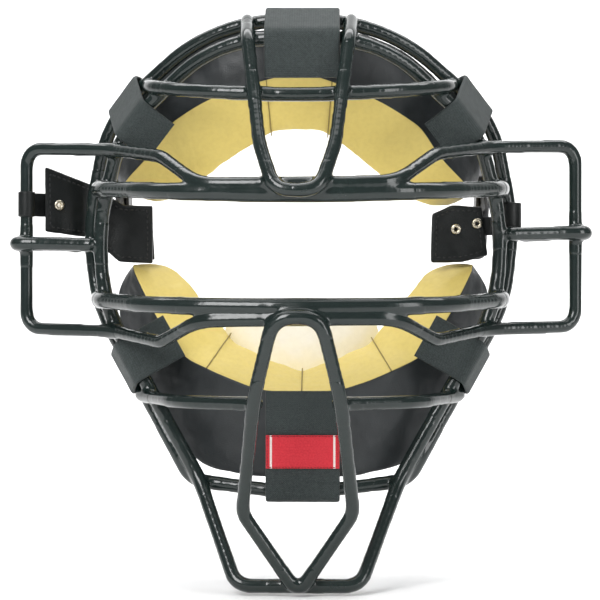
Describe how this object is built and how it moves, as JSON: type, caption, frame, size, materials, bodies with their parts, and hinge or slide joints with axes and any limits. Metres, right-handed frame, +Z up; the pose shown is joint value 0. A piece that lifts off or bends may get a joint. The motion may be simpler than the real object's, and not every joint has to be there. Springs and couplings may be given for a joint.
{
  "type": "catcher's mask",
  "caption": "Bowed wire face cage with ear guards and a throat guard, leather-faced forehead and chin pads on webbing straps, and an elastic head harness.",
  "frame": {"origin": "middle of the eye opening on the left-right symmetry plane, level with the harness tabs; the rings' side wires lie about 15 mm behind it", "axes": "+X towards the side with the two-eyelet tab, -Y out of the front of the cage, +Z up"},
  "size_m": [0.2808, 0.2749, 0.2825],
  "materials": {
    "wire_coat": "very dark green-black dipped vinyl, glossy and slightly uneven",
    "pad_vinyl": "black pebbled vinyl with a soft sheen",
    "tan_leather": "pale yellow tan leather, soft and lightly creased",
    "foam": "closed pad filling",
    "lining": "off-white brushed lining cloth",
    "webbing": "black ribbed woven webbing",
    "elastic": "black ribbed woven elastic",
    "label": "plain red woven label with pale edge stripes",
    "black_leather": "black leather with pressed borders",
    "eyelet_metal": "dull pale brass",
    "felt": "grey wool felt",
    "slider_plastic": "black moulded nylon"
  },
  "bodies": {
    "cage": {"rear_ring": "wire_coat", "front_ring": "wire_coat", "upper_main_bar": "wire_coat", "lower_main_bar": "wire_coat", "ear_guard_wire": "wire_coat", "brow_bar": "wire_coat", "upper_u_bar": "wire_coat", "lower_u_bar": "wire_coat", "cheek_bar_left": "wire_coat", "cheek_bar_right": "wire_coat", "ear_mid_bar_left": "wire_coat", "ear_mid_bar_right": "wire_coat", "top_pad_foam": "foam", "top_pad_cover": "pad_vinyl", "top_pad_facing": "tan_leather", "chin_pad_foam": "foam", "chin_pad_cover": "pad_vinyl", "chin_pad_facing": "tan_leather", "chin_cup_lining": "lining", "top_strap": "webbing", "chin_strap": "webbing", "upper_left_strap": "webbing", "upper_right_strap": "webbing", "lower_left_strap": "webbing", "lower_right_strap": "webbing", "crown_anchor": "black_leather", "anchor_stud": "eyelet_metal"},
    "top_flap": {"top_strap_flap": "webbing"},
    "chin_flap": {"chin_strap_flap": "webbing", "strap_label": "label"},
    "upper_left_flap": {"upper_left_flap": "webbing"},
    "upper_right_flap": {"upper_right_flap": "webbing"},
    "lower_left_flap": {"lower_left_flap": "webbing"},
    "lower_right_flap": {"lower_right_flap": "webbing"},
    "left_tab": {"left_tab": "black_leather", "left_tab_loop": "black_leather", "left_tab_eyelet": "eyelet_metal"},
    "right_tab": {"right_tab": "black_leather", "right_tab_loop": "black_leather", "right_tab_eyelets": "eyelet_metal"},
    "harness": {"elastic_left": "elastic", "elastic_right": "elastic", "crown_strap": "elastic", "back_plate": "black_leather", "back_felt": "felt", "plate_rivets": "eyelet_metal", "snap_cap": "eyelet_metal"},
    "left_slider": {"left_slider": "slider_plastic"},
    "right_slider": {"right_slider": "slider_plastic"},
    "crown_slider": {"crown_slider": "slider_plastic"}
  },
  "joints": [
    {"name": "top_flap_open", "type": "hinge", "parent": "cage", "child": "top_flap", "pos_m": [0.0016, -0.03029, 0.1077], "axis": [-1, 0, 0], "range_deg": [0, 100]},
    {"name": "chin_flap_open", "type": "hinge", "parent": "cage", "child": "chin_flap", "pos_m": [0.0016, -0.0214, -0.10965], "axis": [1, 0, 0], "range_deg": [0, 95]},
    {"name": "upper_left_flap_open", "type": "hinge", "parent": "cage", "child": "upper_left_flap", "pos_m": [-0.08401, -0.00605, 0.06932], "axis": [-0.6009, 0.2974, -0.742], "range_deg": [0, 7]},
    {"name": "lower_left_flap_open", "type": "hinge", "parent": "cage", "child": "lower_left_flap", "pos_m": [-0.08497, -0.00352, -0.05704], "axis": [0.4864, -0.1908, -0.8527], "range_deg": [0, 10]},
    {"name": "upper_right_flap_open", "type": "hinge", "parent": "cage", "child": "upper_right_flap", "pos_m": [0.08401, -0.00605, 0.06932], "axis": [-0.6009, -0.2974, 0.742], "range_deg": [0, 7]},
    {"name": "lower_right_flap_open", "type": "hinge", "parent": "cage", "child": "lower_right_flap", "pos_m": [0.08497, -0.00352, -0.05704], "axis": [0.4864, 0.1908, 0.8527], "range_deg": [0, 10]},
    {"name": "harness_gate", "type": "hinge", "parent": "cage", "child": "left_tab", "pos_m": [-0.133, 0.01, 0.02], "axis": [0, 0, 1], "range_deg": [0, 55]},
    {"name": "harness_tilt", "type": "hinge", "parent": "left_tab", "child": "harness", "pos_m": [0, 0.0395, 0.008], "axis": [1, 0, 0], "range_deg": [-30, 0]},
    {"name": "right_tab_swing", "type": "hinge", "parent": "cage", "child": "right_tab", "pos_m": [0.1017, 0.0164, 0.017], "axis": [0, 0, 1], "range_deg": [0, 20]},
    {"name": "left_slider_slide", "type": "slide", "parent": "harness", "child": "left_slider", "axis": [0, 0.829, 0.5592], "range_m": [-0.018, 0.01]},
    {"name": "right_slider_slide", "type": "slide", "parent": "harness", "child": "right_slider", "axis": [0, 0.829, 0.5592], "range_m": [-0.018, 0.01]},
    {"name": "crown_slider_slide", "type": "slide", "parent": "harness", "child": "crown_slider", "axis": [0, 0.9968, 0.0804], "range_m": [-0.03, 0.06]}
  ]
}
